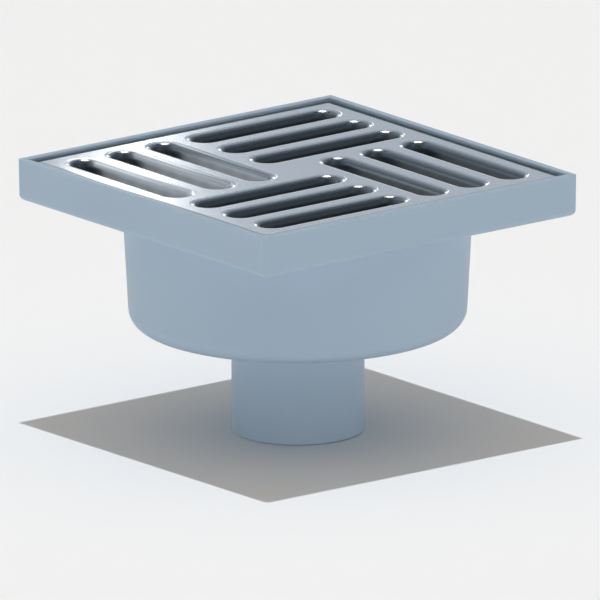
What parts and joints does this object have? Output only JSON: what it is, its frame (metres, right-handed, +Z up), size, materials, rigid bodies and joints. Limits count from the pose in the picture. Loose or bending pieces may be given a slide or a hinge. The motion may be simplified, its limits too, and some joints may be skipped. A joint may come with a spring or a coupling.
{
  "type": "gully trap",
  "caption": "Square floor gully trap: plastic tray on a round bowl with a vertical outlet spigot, a removable trap bell inside, and a slotted stainless grate let into the rim.",
  "frame": {"origin": "centre of the outlet spigot's foot, the lowest point of the gully", "axes": "+Z up along the outlet's axis towards the grate, X and Y along the tray's sides"},
  "size_m": [0.15, 0.15, 0.1027],
  "materials": {
    "body_plastic": "satin moulded",
    "grate_steel": "polished",
    "bell_plastic": "satin moulded"
  },
  "bodies": {
    "root": {"body": "body_plastic", "grate": "grate_steel", "trap_bell": "bell_plastic"}
  },
  "joints": []
}
